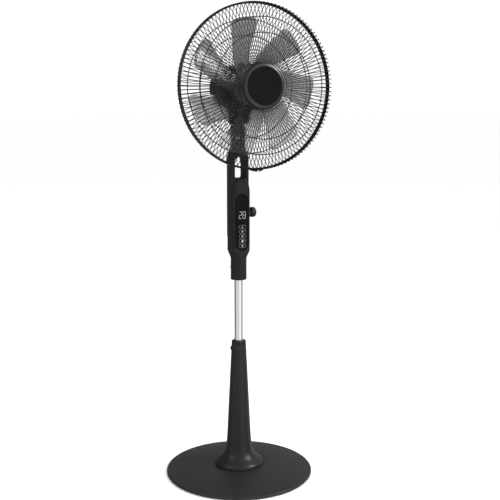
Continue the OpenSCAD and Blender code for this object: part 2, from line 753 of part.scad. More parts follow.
module fan_blades() color([0.55, 0.56, 0.58, 0.6]) {
    for (i = [0:blade_count - 1]) rotate_on_axis(360 / blade_count * i)
        translate([blade_axis_x, blade_y, 0]) rotate([0, 0, blade_pitch])
            translate([-blade_axis_x, blade_t / 2, 0]) rotate([90, 0, 0])
                linear_extrude(blade_t) blade_outline();
    spin_profile([[shaft_r, hub_front_y], [hub_r - 3, hub_front_y], [hub_r, hub_front_y + 3],
        [hub_r, hub_back_y], [hub_r - 2.5, hub_back_y], [hub_r - 2.5, hub_front_y + 2.5],
        [9, hub_front_y + 2.5], [9, hub_front_y + 5.5], [shaft_r, hub_front_y + 5.5]]);
}

module spinner_nut() color([0.1, 0.1, 0.1]) {
    near = hub_front_y - 20;
    far = hub_front_y - 0.4;
    spin_profile([[shaft_r, far], [19, far], [19, far - 5], [14, near + 6], [11, near], [0, near],
        [0, shaft_tip_y - 0.2], [shaft_r, shaft_tip_y - 0.2]]);
}

base_cover();
ballast_plate();
base_feet();
base_screws();
column();
column_tube();
column_collar();
height_button();
pole();
pole_glide();
neck_front();
neck_rear();
neck_fork();
neck_screws();
socket_screw();
cord_gland();
control_panel();
display();
control_board();
key_switches();
button_power();
button_speed();
button_mode();
button_swing();
button_timer();
clamp_knob();
clamp_washer();
clamp_nut();
tilt_pin();
tilt_nut();
friction_washers();
tilt_bracket();
swivel_post();
swing_gear();
post_nut();
swivel_base();
swing_motor();
swing_pinion();
motor_housing();
rear_cover();
motor_bolts();
stator_core();
stator_windings();
front_bearing();
rear_bearing();
end_shield();
motor_capacitor();
rear_grille();
grille_nut();
front_grille();
guard_cap();
rim_band();
rim_clip();
clip_screw();
motor_shaft();
rotor_core();
fan_blades();
spinner_nut();
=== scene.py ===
import math

import bmesh
import bpy
import numpy as np
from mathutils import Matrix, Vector


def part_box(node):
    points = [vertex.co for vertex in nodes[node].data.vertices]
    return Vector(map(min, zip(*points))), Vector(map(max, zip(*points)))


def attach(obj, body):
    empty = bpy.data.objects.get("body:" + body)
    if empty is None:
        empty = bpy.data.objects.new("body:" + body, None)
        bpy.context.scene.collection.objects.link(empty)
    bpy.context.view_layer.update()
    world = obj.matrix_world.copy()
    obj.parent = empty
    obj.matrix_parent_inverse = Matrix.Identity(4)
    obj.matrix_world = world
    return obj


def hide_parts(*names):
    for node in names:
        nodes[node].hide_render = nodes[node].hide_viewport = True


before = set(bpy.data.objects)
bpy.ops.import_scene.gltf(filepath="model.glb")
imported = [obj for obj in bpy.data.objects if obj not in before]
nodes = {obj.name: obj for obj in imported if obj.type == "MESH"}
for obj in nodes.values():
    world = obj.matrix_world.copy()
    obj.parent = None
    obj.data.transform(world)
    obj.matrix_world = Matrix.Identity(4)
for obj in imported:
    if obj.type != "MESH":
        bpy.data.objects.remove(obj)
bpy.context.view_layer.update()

# All shapes are worked out in millimetres in the frame of the CAD model, and turned into metres at the end.
MM = 0.001


def span(node):
    low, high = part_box(node)
    return low / MM, high / MM


# ---- sizes from the frame ----

base_low, base_high = span("base_cover")
base_r = base_high.x
column_top = span("column_collar")[1].z
pole_r = span("pole")[1].x
pole_low_z, pole_top_z = span("pole")[0].z, span("pole")[1].z
neck_low, neck_high = span("neck_front")
neck_half_w = neck_high.x
neck_half_d = -neck_low.y
neck_z = neck_low.z
shoulder_z = neck_high.z
arm_front = span("neck_fork")[0].y
tilt_pin_low, tilt_pin_high = span("tilt_pin")
tilt_y = (tilt_pin_low.y + tilt_pin_high.y) / 2
tilt_z = (tilt_pin_low.z + tilt_pin_high.z) / 2
cup_low, cup_high = span("tilt_bracket")
swing_y = -4.0
band_low, band_high = span("rim_band")
guard_r = band_high.x
band_y = (band_low.y + band_high.y) / 2
axis_z = (band_low.z + band_high.z) / 2
housing_low, housing_high = span("motor_housing")
motor_r = housing_high.x
dome_y = span("rear_cover")[1].y
cap_low, cap_high = span("guard_cap")
cap_r = cap_high.x
panel_low, panel_high = span("control_panel")
panel_z = (panel_low.z + panel_high.z) / 2
knob_low, knob_high = span("clamp_knob")
knob_z = (knob_low.z + knob_high.z) / 2

# ---- sizes of the details ----

column_top_r = 20
column_taper = 0.0498
flare_w = 32
flare_start_z = 37.5
flare_reach = 14.5
flare_soft = 9.0
socket_r = 22.2
socket_top_z = 622
neck_body_z = 644
neck_corner = 12
ledge_z = 845
ledge_side_z = 806
slot_half = 16.5
slot_z = 845
slot_arch_z = 888.5
cheek_half = 19
cheek_gap = 12.6
cheek_r = 17
fork_web_drop = 19.6
cup_low_z = tilt_z + 19.5
cup_barrel_half = cheek_gap - 0.7
dome_start_y = 36
cap_disc_r = 49.2
wire_r = 1.0
wire_count = 120
ring_radii = (134, 174)
skirt_r = 212.3
bend = 7
bend_from = math.radians(20)
skirt_gap = 2
blade_count = 7
blade_r = 179
blade_root_r = 60
blade_span = 120
blade_tip = 16
hub_r = 46
hub_front_y = -95
hub_back_y = -68


# ---- small tools ----

def steps(start, end, count):
    return [start + (end - start) * i / count for i in range(count + 1)]


def smooth(t):
    t = np.clip(t, 0, 1)
    return t * t * (3 - 2 * t)


def rounded(points, count=5):
    """A polygon's points (a, b, radius) with each corner turned into an arc of its radius."""
    result = []
    total = len(points)
    for i, (a, b, radius) in enumerate(points):
        here = Vector((a, b))
        if radius <= 0:
            result.append((a, b))
            continue
        before = Vector(points[i - 1][:2]) - here
        after = Vector(points[(i + 1) % total][:2]) - here
        angle = before.angle(after)
        reach = min(radius / math.tan(angle / 2), 0.499 * before.length, 0.499 * after.length)
        radius = reach * math.tan(angle / 2)
        start = here + before.normalized() * reach
        end = here + after.normalized() * reach
        inward = (before.normalized() + after.normalized()).normalized()
        middle = here + inward * radius / math.sin(angle / 2)
        from_a = start - middle
        to_b = end - middle
        sweep = from_a.angle_signed(to_b)
        for t in steps(0, 1, count):
            turn = -sweep * t
            arm = Vector((from_a.x * math.cos(turn) - from_a.y * math.sin(turn),
                          from_a.x * math.sin(turn) + from_a.y * math.cos(turn)))
            result.append(tuple(middle + arm))
    return result


def build(name, verts, faces, body, slot, material, replaces=(), sharp=35.0, normals=None):
    """A piece from vertices in millimetres. It rides on body and stands for the CAD nodes in replaces."""
    mesh = bpy.data.meshes.new(name)
    places = [tuple(v) for v in np.asarray(verts, float) * MM]
    mesh.from_pydata(places, [], [tuple(int(i) for i in f) for f in faces])
    if normals is None:
        work = bmesh.new()
        work.from_mesh(mesh)
        bmesh.ops.remove_doubles(work, verts=work.verts, dist=2e-6)
        bmesh.ops.dissolve_degenerate(work, edges=work.edges, dist=1e-7)
        bmesh.ops.recalc_face_normals(work, faces=work.faces)
        work.to_mesh(mesh)
        work.free()
    mesh.shade_smooth()
    if normals is None:
        mesh.set_sharp_from_angle(angle=math.radians(sharp))
    else:
        mesh.normals_split_custom_set_from_vertices([tuple(n) for n in normals])
    mesh.materials.append(material)
    piece = bpy.data.objects.new(name, mesh)
    bpy.context.scene.collection.objects.link(piece)
    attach(piece, body)
    if replaces:
        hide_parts(*replaces)
    return piece


class Shape:
    """Vertices and faces that several parts of one piece are collected in."""

    def __init__(self):
        self.verts = []
        self.faces = []

    def add(self, verts, faces):
        start = len(self.verts)
        self.verts.extend(tuple(float(c) for c in v) for v in verts)
        self.faces.extend(tuple(start + i for i in f) for f in faces)
        return self


def turned(profile, axis, centre=(0, 0), count=96, closed=True, lobes=None, keep=None):
    """A profile of (radius, height) turned about an axis. lobes(angle, radius) may change the radius,
    and keep(step, row) leaves a face out where it is false."""
    rows = len(profile)
    verts = []
    for i in range(count):
        angle = 2 * math.pi * i / count
        for radius, height in profile:
            r = lobes(angle, radius) if lobes else radius
            a, b = r * math.sin(angle), r * math.cos(angle)
            if axis == "z":
                verts.append((centre[0] + a, centre[1] + b, height))
            elif axis == "y":
                verts.append((centre[0] + a, height, centre[1] + b))
            else:
                verts.append((height, centre[0] + a, centre[1] + b))
    faces = []
    for i in range(count):
        after = (i + 1) % count
        for j in range(rows if closed else rows - 1):
            if keep and not keep(i, j):
                continue
            k = (j + 1) % rows
            faces.append((i * rows + j, after * rows + j, after * rows + k, i * rows + k))
    return verts, faces


def tube(path, radius, sides=6, closed=False):
    """A round wire along a path of points, with closed ends."""
    points = np.array(path, float)
    count = len(points)
    if closed:
        along = np.roll(points, -1, 0) - np.roll(points, 1, 0)
    else:
        along = np.gradient(points, axis=0)
    along /= np.linalg.norm(along, axis=1)[:, None]
    side = np.cross(along[0], (0.3, 0.5, 0.8))
    verts = []
    for point, forward in zip(points, along):
        side = side - forward * side.dot(forward)
        side /= np.linalg.norm(side)
        up = np.cross(forward, side)
        for j in range(sides):
            angle = 2 * math.pi * j / sides
            verts.append(point + radius * (math.cos(angle) * side + math.sin(angle) * up))
    faces = []
    for i in range(count if closed else count - 1):
        k = (i + 1) % count
        for j in range(sides):
            n = (j + 1) % sides
            faces.append((i * sides + j, i * sides + n, k * sides + n, k * sides + j))
    if not closed:
        faces.append(tuple(range(sides))[::-1])
        faces.append(tuple((count - 1) * sides + j for j in range(sides)))
    return verts, faces


def ring_path(radius, y, count=144):
    return [(radius * math.sin(2 * math.pi * i / count), y,
             axis_z + radius * math.cos(2 * math.pi * i / count))
            for i in range(count)]


def plate(outlines, front_y, thickness, edge=0.0):
    """A flat upright plate with rounded edges. The first outline is its rim, the others are holes."""
    curve = bpy.data.curves.new("plate", "CURVE")
    curve.dimensions = "2D"
    curve.fill_mode = "BOTH"
    curve.extrude = thickness / 2 - edge
    curve.bevel_depth = edge
    curve.bevel_resolution = 2
    curve.offset = -edge
    for outline in outlines:
        spline = curve.splines.new("POLY")
        spline.points.add(len(outline) - 1)
        spline.use_cyclic_u = True
        for point, (x, z) in zip(spline.points, outline):
            point.co = (x, z, 0, 1)
    holder = bpy.data.objects.new("plate", curve)
    bpy.context.scene.collection.objects.link(holder)
    shape = holder.evaluated_get(bpy.context.evaluated_depsgraph_get()).to_mesh()
    verts = [(v.co.x, front_y + thickness / 2 - v.co.z, v.co.y) for v in shape.vertices]
    faces = [tuple(f.vertices) for f in shape.polygons]
    bpy.data.objects.remove(holder)
    bpy.data.curves.remove(curve)
    return verts, faces


def oval(width, height, z, x=0.0, count=14):
    """Outline of a bar with round ends, lying or standing."""
    r = min(width, height) / 2
    outline = []
    for i in range(4):
        sx = (1, -1, -1, 1)[i]
        sz = (1, 1, -1, -1)[i]
        for t in steps(0, 1, count):
            angle = math.pi / 2 * (i + t)
            outline.append((x + sx * (width / 2 - r) + r * math.cos(angle),
                            z + sz * (height / 2 - r) + r * math.sin(angle)))
    clean = []
    for point in outline:
        if not clean or math.dist(point, clean[-1]) > 1e-4:
            clean.append(point)
    if math.dist(clean[0], clean[-1]) < 1e-4:
        clean.pop()
    return clean


# ---- solid forms with soft blends, meshed from a distance field ----

def rect_field(x, y, half_w, half_d, radius):
    qx = np.abs(x) - (half_w - radius)
    qy = np.abs(y) - (half_d - radius)
    return np.hypot(np.maximum(qx, 0), np.maximum(qy, 0)) + np.minimum(np.maximum(qx, qy), 0) - radius


def join(a, b, soft):
    h = np.clip(0.5 + 0.5 * (b - a) / soft, 0, 1)
    return b + (a - b) * h - soft * h * (1 - h)


def common(a, b, soft):
    return -join(-a, -b, soft)


def cut(a, b, soft):
    return common(a, -b, soft)


def form(field, low, high, cell):
    """Vertices, faces and normals of the surface where field(x, y, z) is zero."""
    axes = [np.arange(a - 1.5 * cell, b + 2.5 * cell, cell) for a, b in zip(low, high)]
    value = field(*np.meshgrid(*axes, indexing="ij"))
    inside = value < 0
    shape = np.array(value.shape) - 1
    corner = sum(inside[i:shape[0] + i, j:shape[1] + j, k:shape[2] + k].astype(int)
                 for i in (0, 1) for j in (0, 1) for k in (0, 1))
    active = (corner > 0) & (corner < 8)
    index = np.full(active.shape, -1)
    index[active] = np.arange(active.sum())
    place = np.zeros((active.sum(), 3))
    hits = np.zeros(active.sum())
    faces = []
    for axis in range(3):
        first = [slice(None)] * 3
        second = [slice(None)] * 3
        first[axis], second[axis] = slice(0, -1), slice(1, None)
        a, b = value[tuple(first)], value[tuple(second)]
        where = np.argwhere((a < 0) != (b < 0))
        va, vb = a[tuple(where.T)], b[tuple(where.T)]
        point = np.stack([axes[d][where[:, d]] for d in range(3)], 1)
        point[:, axis] += cell * va / (va - vb)
        u, v = (axis + 1) % 3, (axis + 2) % 3
        around = []
        for du, dv in ((-1, -1), (0, -1), (0, 0), (-1, 0)):
            at = where.copy()
            at[:, u] += du
            at[:, v] += dv
            around.append(index[tuple(at.T)])
        for owner in around:
            np.add.at(place, owner, point)
            np.add.at(hits, owner, 1)
        quad = np.stack(around, 1)
        quad[va > 0] = quad[va > 0][:, ::-1]
        faces.append(quad)
    place /= hits[:, None]
    nudge = 0.02
    for _ in range(4):
        value = field(*place.T)
        slope = np.stack([field(*(place + nudge * np.eye(3)[d]).T) - field(*(place - nudge * np.eye(3)[d]).T)
                          for d in range(3)], 1) / (2 * nudge)
        size = np.maximum((slope ** 2).sum(1), 0.05)
        move = slope * (value / size)[:, None]
        place -= np.clip(move, -cell / 2, cell / 2)
    normals = slope / np.maximum(np.linalg.norm(slope, axis=1), 1e-6)[:, None]
    return place, np.concatenate(faces), normals


def blended(name, field, low, high, cell, body, slot, material, node):
    """A piece meshed from a distance field. It stands for one CAD node."""
    place, faces, normals = form(field, low, high, cell)
    build(name, place, faces, body, slot, material, [node], normals=normals)


# ---- materials ----

def finish_of(name, colour, rough, metallic=0.0, grain=2500.0, bump=0.15, depth=0.05, shade=0.12,
              rough_shade=0.08, wear=0.0, specular=0.5, brushed=None):
    """A material with mottled colour, uneven roughness, a fine surface grain and, with wear, paler edges."""
    material = bpy.data.materials.new(name)
    material.use_nodes = True
    tree = material.node_tree
    shader = tree.nodes["Principled BSDF"]
    shader.inputs["Metallic"].default_value = metallic
    shader.inputs["Specular IOR Level"].default_value = specular
    place = tree.nodes.new("ShaderNodeTexCoord")
    source = place.outputs["Object"]
    if brushed:
        stretch = tree.nodes.new("ShaderNodeMapping")
        stretch.inputs["Scale"].default_value = brushed
        tree.links.new(source, stretch.inputs["Vector"])
        source = stretch.outputs["Vector"]

    def noise(scale, detail):
        texture = tree.nodes.new("ShaderNodeTexNoise")
        texture.inputs["Scale"].default_value = scale
        texture.inputs["Detail"].default_value = detail
        tree.links.new(source, texture.inputs["Vector"])
        return texture.outputs["Fac"]

    def spread(value, low, high):
        node = tree.nodes.new("ShaderNodeMapRange")
        node.inputs["From Min"].default_value = 0.3
        node.inputs["From Max"].default_value = 0.7
        node.inputs["To Min"].default_value = low
        node.inputs["To Max"].default_value = high
        tree.links.new(value, node.inputs["Value"])
        return node.outputs["Result"]

    def mix(factor, first, second):
        node = tree.nodes.new("ShaderNodeMix")
        node.data_type = "RGBA"
        tree.links.new(factor, node.inputs["Factor"])
        for socket, value in (("A", first), ("B", second)):
            target = [s for s in node.inputs if s.name == socket and s.type == "RGBA"][0]
            if isinstance(value, tuple):
                target.default_value = (*value, 1)
            else:
                tree.links.new(value, target)
        return [s for s in node.outputs if s.type == "RGBA"][0]

    dark = tuple(c * (1 - shade) for c in colour)
    light = tuple(min(1, c * (1 + shade)) for c in colour)
    body = mix(spread(noise(18, 4), 0, 1), dark, light)
    if wear:
        edges = tree.nodes.new("ShaderNodeNewGeometry")
        ramp = tree.nodes.new("ShaderNodeMapRange")
        ramp.inputs["From Min"].default_value = 0.52
        ramp.inputs["From Max"].default_value = 0.62
        ramp.inputs["To Max"].default_value = wear
        tree.links.new(edges.outputs["Pointiness"], ramp.inputs["Value"])
        body = mix(ramp.outputs["Result"], body, tuple(min(1, c * 1.6 + 0.02) for c in colour))
    tree.links.new(body, shader.inputs["Base Color"])
    uneven = spread(noise(60, 5), rough - rough_shade, rough + rough_shade)
    tree.links.new(uneven, shader.inputs["Roughness"])
    relief = tree.nodes.new("ShaderNodeBump")
    relief.inputs["Strength"].default_value = bump
    relief.inputs["Distance"].default_value = depth * MM
    tree.links.new(noise(grain, 2), relief.inputs["Height"])
    tree.links.new(relief.outputs["Normal"], shader.inputs["Normal"])
    return material


def smoked(name, colour, rough):
    """Tinted see-through plastic, a little uneven as a moulded part is."""
    material = finish_of(name, colour, rough, grain=90, bump=0.012, depth=0.05, shade=0.05, rough_shade=0.02)
    shader = material.node_tree.nodes["Principled BSDF"]
    shader.inputs["Transmission Weight"].default_value = 1.0
    shader.inputs["IOR"].default_value = 1.38
    return material


def glowing(name, colour, strength):
    material = finish_of(name, tuple(0.06 * c for c in colour), 0.4, shade=0.02)
    shader = material.node_tree.nodes["Principled BSDF"]
    shader.inputs["Emission Color"].default_value = (*colour, 1)
    shader.inputs["Emission Strength"].default_value = strength
    return material


base_black = finish_of("satin_black_base", (0.016, 0.016, 0.0165), 0.42, bump=0.06, depth=0.02, wear=0.1,
                       specular=0.22, shade=0.02, rough_shade=0.015)
column_black = finish_of("satin_black_column", (0.009, 0.009, 0.0093), 0.36, bump=0.2, depth=0.05,
                         wear=0.3, specular=0.25)
neck_black = finish_of("satin_black_neck", (0.008, 0.008, 0.0083), 0.40, bump=0.3, depth=0.06, wear=0.35,
                       specular=0.19)
head_black = finish_of("satin_black_head", (0.006, 0.006, 0.0063), 0.38, bump=0.25, depth=0.05, wear=0.3,
                       specular=0.22)
# the cap's black in two copies that differ only to stand for light: the disc's copy darker as painted shade,
# the ring's copy lighter as painted light on the bevel
cap_disc_painted_shade = finish_of("satin_black_cap_painted_shade", (0.003, 0.003, 0.0031), 0.34, bump=0.08, depth=0.03, wear=0.1,
                      specular=0.07)
cap_ring_painted_light = finish_of("satin_black_ring_painted_light", (0.010, 0.010, 0.0104), 0.33, bump=0.1, depth=0.04,
                           wear=0.5, specular=0.4)
trim_black = finish_of("fine_black_trim", (0.006, 0.006, 0.006), 0.32, bump=0.15, depth=0.04, wear=0.4,
                       specular=0.25)
rubber = finish_of("black_rubber", (0.008, 0.008, 0.008), 0.75, grain=900, bump=0.4, depth=0.12,
                   specular=0.3)
gloss_black = finish_of("gloss_black", (0.0025, 0.0025, 0.0028), 0.09, grain=300, bump=0.03, depth=0.05,
                        rough_shade=0.03, specular=0.08)
enamel = finish_of("wire_enamel", (0.004, 0.004, 0.004), 0.3, grain=700, bump=0.2, depth=0.06, specular=0.3)
chrome = finish_of("bright_chrome", (0.80, 0.80, 0.81), 0.07, metallic=1.0, grain=260, bump=0.02,
                   depth=0.03, shade=0.02, rough_shade=0.02, brushed=(1, 1, 0.05))
zinc = finish_of("zinc_plate", (0.55, 0.55, 0.57), 0.35, metallic=1.0, bump=0.2, shade=0.1, wear=0.3)
black_zinc = finish_of("black_zinc", (0.05, 0.05, 0.052), 0.38, metallic=0.8, bump=0.2, shade=0.1, wear=0.4)
steel = finish_of("ground_steel", (0.42, 0.42, 0.43), 0.3, metallic=1.0, grain=900, bump=0.2,
                  brushed=(1, 1, 8), shade=0.08)
laminations = finish_of("motor_laminations", (0.25, 0.25, 0.27), 0.45, metallic=1.0, grain=1800, bump=0.6,
                        brushed=(0.2, 4, 0.2))
copper = finish_of("enamelled_copper", (0.55, 0.22, 0.08), 0.3, metallic=0.9, grain=1600, bump=0.7,
                   depth=0.15)
bronze = finish_of("sintered_bronze", (0.42, 0.27, 0.11), 0.5, metallic=1.0, grain=2400, bump=0.5)
brass = finish_of("brass", (0.62, 0.45, 0.17), 0.28, metallic=1.0, bump=0.15, wear=0.3)
alloy = finish_of("cast_alloy", (0.42, 0.42, 0.43), 0.5, metallic=1.0, grain=900, bump=0.5, depth=0.1)
nylon = finish_of("white_nylon", (0.72, 0.70, 0.64), 0.45, bump=0.15, shade=0.05)
board_green = finish_of("board_green", (0.02, 0.12, 0.05), 0.35, grain=400, bump=0.2, shade=0.3)
grey_print = finish_of("grey_print", (0.22, 0.22, 0.23), 0.5, bump=0.1, shade=0.06)
white_print = finish_of("white_print", (0.36, 0.36, 0.37), 0.5, bump=0.1, shade=0.05)
lit_white = glowing("lit_white", (0.92, 0.94, 0.96), 0.5)
gloss_band = finish_of("gloss_black_band", (0.004, 0.004, 0.004), 0.22, grain=900, bump=0.12, depth=0.05,
                       wear=0.3, specular=0.35)
smoke = smoked("smoke_plastic", (0.76, 0.77, 0.80), 0.2)


# ---- stand ----

def base_cover():
    rim = 4.0
    wall = 2.5
    rim_z = base_low.z + 7
    top_z = base_high.z
    inner_r = 36
    flat_r = 60

    def cover_z(r):
        """Height of the cover, flat in the middle and falling towards the rim."""
        return top_z - (top_z - rim_z) * (max(0, r - flat_r) / (base_r - rim - flat_r)) ** 2

    profile = [(r, cover_z(r)) for r in steps(inner_r, base_r - rim, 26)]
    profile += [(base_r - rim + rim * math.cos(a), rim_z - rim + rim * math.sin(a))
                for a in (math.radians(d) for d in steps(78, 0, 8))]
    profile += [(base_r, base_low.z + 0.6), (base_r - 0.6, base_low.z), (base_r - wall, base_low.z)]
    profile += [(r, cover_z(r) - wall) for r in steps(base_r - rim - 1, inner_r, 16)]
    verts, faces = turned(profile, "z", count=192)
    build("base_shell", verts, faces, "stand", "base_plastic", base_black, ["base_cover"])


def base_feet():
    ring = 168
    shape = Shape()
    for i in range(6):
        angle = math.radians(60 * i)
        pad = rounded([(0, 0, 0), (11.2, 0, 1.2), (12, 3, 0.4), (0, 3, 0)], count=4)
        verts, faces = turned(pad, "z", (ring * math.cos(angle), ring * math.sin(angle)), count=32)
        shape.add(verts, faces)
        dimple = [(7 + 1.2 * math.cos(a), 0.6 + 0.6 * math.sin(a)) for a in steps(0, 2 * math.pi, 9)[:-1]]
        shape.add(*turned(dimple, "z", (ring * math.cos(angle), ring * math.sin(angle)), count=32))
    build("base_foot_pads", shape.verts, shape.faces, "stand", "foot_rubber", rubber, ["base_feet"])


def column():
    low = base_high.z
    top = span("column")[1].z
    wall = 2.4
    reach = span("column")[1].x - 0.05

    def column_r(z):
        """Straight taper, then a hollow flare that turns over softly into the foot's edge."""
        flare = flare_w * math.exp((flare_start_z - z) / flare_reach)
        flared = column_top_r + (column_top - z) * column_taper + flare
        ends = math.exp(-flared / flare_soft) + math.exp(-reach / flare_soft)
        return -flare_soft * math.log(ends)

    foot_z = low + 0.3
    foot_r = column_r(foot_z)
    lip = [(foot_r - 3.4, low + 0.02), (foot_r - 0.2, low + 0.02)]
    flare_z = [foot_z + 90 * (i / 48) ** 1.7 for i in range(49)]
    outer = [(column_r(z), z) for z in flare_z + steps(flare_z[-1], top, 22)[1:]]
    inner = [(column_r(z) - wall, z) for z in steps(top, foot_z + 3, 60)]
    verts, faces = turned(lip + outer + inner, "z", count=128)
    piece = build("column_shell", verts, faces, "stand", "column_plastic", column_black, ["column"])
    # the button's hole, cut by a round punch that is then deleted
    low_b, high_b = span("height_button")
    punch_profile = [(0, -30), (high_b.y + 0.25, -30), (high_b.y + 0.25, -10), (0, -10)]
    verts, faces = turned(punch_profile, "x", (0, (low_b.z + high_b.z) / 2), count=48)
    mesh = bpy.data.meshes.new("punch")
    mesh.from_pydata([tuple(c * MM for c in v) for v in verts], [], faces)
    work = bmesh.new()
    work.from_mesh(mesh)
    bmesh.ops.remove_doubles(work, verts=work.verts, dist=1e-6)
    bmesh.ops.recalc_face_normals(work, faces=work.faces)
    work.to_mesh(mesh)
    work.free()
    punch = bpy.data.objects.new("punch", mesh)
    bpy.context.scene.collection.objects.link(punch)
    hole = piece.modifiers.new("hole", "BOOLEAN")
    hole.object = punch
    hole.operation = "DIFFERENCE"
    hole.solver = "EXACT"
    bpy.context.view_layer.update()
    done = bpy.data.meshes.new_from_object(piece.evaluated_get(bpy.context.evaluated_depsgraph_get()))
    piece.modifiers.clear()
    piece.data = done
    done.set_sharp_from_angle(angle=math.radians(35))
    bpy.data.objects.remove(punch)


def column_collar():
    low, high = span("column_collar")
    r = high.x
    bore = pole_r + 0.1
    profile = rounded([(bore, low.z, 0), (r, low.z, 0.3), (r, high.z - 1.6, 1.2), (r - 2.2, high.z, 1.6),
                       (bore + 0.8, high.z, 0.5), (bore, high.z - 1.2, 0.4)], count=5)
    verts, faces = turned(profile, "z", count=96)
    build("column_top_ring", verts, faces, "stand", "collar_plastic", trim_black, ["column_collar"])


def height_button():
    low, high = span("height_button")
    r = high.y
    face = low.x
    profile = rounded([(0, face + 0.8, 0), (r - 2.4, face + 0.8, 3), (r - 1.2, face, 0.6),
                       (r, face + 0.9, 0.8), (r, high.x, 0.2), (0, high.x, 0)], count=4)
    verts, faces = turned(profile, "x", (0, (low.z + high.z) / 2), count=64)
    build("height_lock_button", verts, faces, "height_button", "button_black", trim_black, ["height_button"])


def pole():
    wall = 1.2
    profile = rounded([(pole_r - wall, pole_low_z, 0.3), (pole_r, pole_low_z, 0.4),
                       (pole_r, pole_top_z, 0.4), (pole_r - wall, pole_top_z, 0.3)], count=3)
    verts, faces = turned(profile, "z", count=96)
    build("chrome_pole", verts, faces, "mast", "pole_chrome", chrome, ["pole"])


# ---- neck ----

def ledge_top(x):
    return ledge_z - (ledge_z - ledge_side_z) * abs(x / neck_half_w) ** 3


def neck_field(x, y, z):
    """The whole neck from its socket up to the fork's cheeks."""
    grow = smooth((z - socket_top_z + 2) / (neck_body_z - socket_top_z + 6))
    half_w = socket_r + (neck_half_w - socket_r) * grow
    half_d = socket_r + (neck_half_d - socket_r) * grow
    radius = socket_r - 0.01 + (neck_corner - socket_r) * grow
    full = rect_field(x, y, half_w, half_d, radius)
    full = common(full, neck_z - z, 2.0)
    full = common(full, (z - ledge_top(x)) * 0.8, 3.0)
    narrow = smooth((z - shoulder_z + 12) / 40)
    arm_w = neck_half_w + (cheek_half - neck_half_w) * narrow
    arm_back = neck_half_d + (tilt_y + cheek_r - neck_half_d) * narrow
    arm_face = arm_front + (tilt_y - cheek_r - arm_front) * narrow
    arms = rect_field(x, y - (arm_back + arm_face) / 2, arm_w, (arm_back - arm_face) / 2, 9.0)
    arms = common(arms, neck_body_z + 40 - z, 1.0)
    body = join(full, arms, 1.5)
    top = np.where(z > tilt_z, np.hypot(y - tilt_y, z - tilt_z) - cheek_r, -cheek_r)
    body = common(body, top, 3.0)
    slot = np.where(z > slot_arch_z, np.hypot(x, z - slot_arch_z) - slot_half, np.abs(x) - slot_half)
    body = cut(body, common(slot, slot_z - z, 6.0), 3.5)
    between = common(np.abs(x) - cheek_gap, tilt_z - fork_web_drop - z, 5.0)
    return cut(body, between, 1.5)


def neck_front_field(x, y, z):
    panel_w = panel_high.x - panel_low.x + 0.4
    panel_h = panel_high.z - panel_low.z + 0.4
    away = np.maximum(np.abs(z - panel_z) - (panel_h - panel_w) / 2, 0)
    recess = np.maximum(np.hypot(x, away) - panel_w / 2, y - panel_high.y)
    half = common(neck_field(x, y, z), y + 0.12, 0.8)
    half = common(half, z - shoulder_z + 0.1, 0.8)
    half = np.maximum(half, -(np.hypot(x, y) - pole_r - 0.1))
    return cut(half, recess, 0.5)


def neck_rear_field(x, y, z):
    half = common(neck_field(x, y, z), 0.12 - y, 0.8)
    half = common(half, z - shoulder_z + 0.1, 0.8)
    half = np.maximum(half, -np.maximum(np.hypot(x, y) - pole_r - 0.1, z - pole_top_z))
    for screw_z in (805, 831):
        half = cut(half, np.maximum(np.hypot(x, z - screw_z) - 3.7, neck_half_d - 2 - y), 0.6)
    return half


def fork_field(x, y, z):
    return common(neck_field(x, y, z), shoulder_z + 0.1 - z, 0.8)


def neck():
    cell = 1.5
    left, right = -neck_half_w, neck_half_w
    front, back = -neck_half_d, neck_half_d
    blended("neck_front_shell", neck_front_field, (left, front, neck_z), (right, 0, shoulder_z), cell,
            "mast", "neck_plastic", neck_black, "neck_front")
    blended("neck_rear_shell", neck_rear_field, (left, 0, neck_z), (right, back, shoulder_z), cell,
            "mast", "neck_plastic", neck_black, "neck_rear")
    blended("tilt_fork", fork_field, (left, arm_front, shoulder_z), (right, back, tilt_z + cheek_r), 1.2,
            "mast", "neck_plastic", neck_black, "neck_fork")


def socket_screw():
    low, high = span("socket_screw")
    z = (low.z + high.z) / 2
    r = high.z - z
    face = low.x
    profile = rounded([(0, face + 1.4, 0), (1.6, face + 1.4, 0.3), (1.6, face, 0.3), (r - 0.4, face, 0.8),
                       (r, face + 3, 0.2), (2.1, face + 3, 0.2), (2.1, -pole_r, 0), (0, -pole_r, 0)],
                       count=3)
    verts, faces = turned(profile, "x", (0, z), count=48)
    build("socket_lock_screw", verts, faces, "mast", "button_black", black_zinc, ["socket_screw"])


def cord_gland():
    low, high = span("cord_gland")
    z = (low.z + high.z) / 2
    r = high.x
    bore = 3.4
    profile = rounded([(bore, neck_half_d - 5, 0), (4.9, neck_half_d - 5, 0), (4.9, neck_half_d, 0),
                       (r, neck_half_d + 0.05, 0.3), (r - 0.6, neck_half_d + 2, 0.8),
                       (4.9, neck_half_d + 2.2, 0.4), (4.6, high.y, 0.5), (bore + 0.2, high.y, 0.3)],
                       count=4)
    verts, faces = turned(profile, "y", (0, z), count=48)
    build("cord_grommet", verts, faces, "mast", "foot_rubber", rubber, ["cord_gland"])


def control_panel():
    keys = [span(n) for n in ("button_power", "button_speed", "button_mode", "button_swing", "button_timer")]
    width = panel_high.x - panel_low.x
    outlines = [oval(width, panel_high.z - panel_low.z, panel_z, count=20)]
    for low, high in keys:
        outlines.append(oval(high.x - low.x + 0.6, high.z - low.z + 0.6, (low.z + high.z) / 2))
    verts, faces = plate(outlines, panel_low.y, panel_high.y - panel_low.y, 0.25)
    build("touch_panel", verts, faces, "mast", "panel_gloss", gloss_black, ["control_panel"], sharp=30)


SEGMENTS = {2: "abged", 8: "abcdefg"}


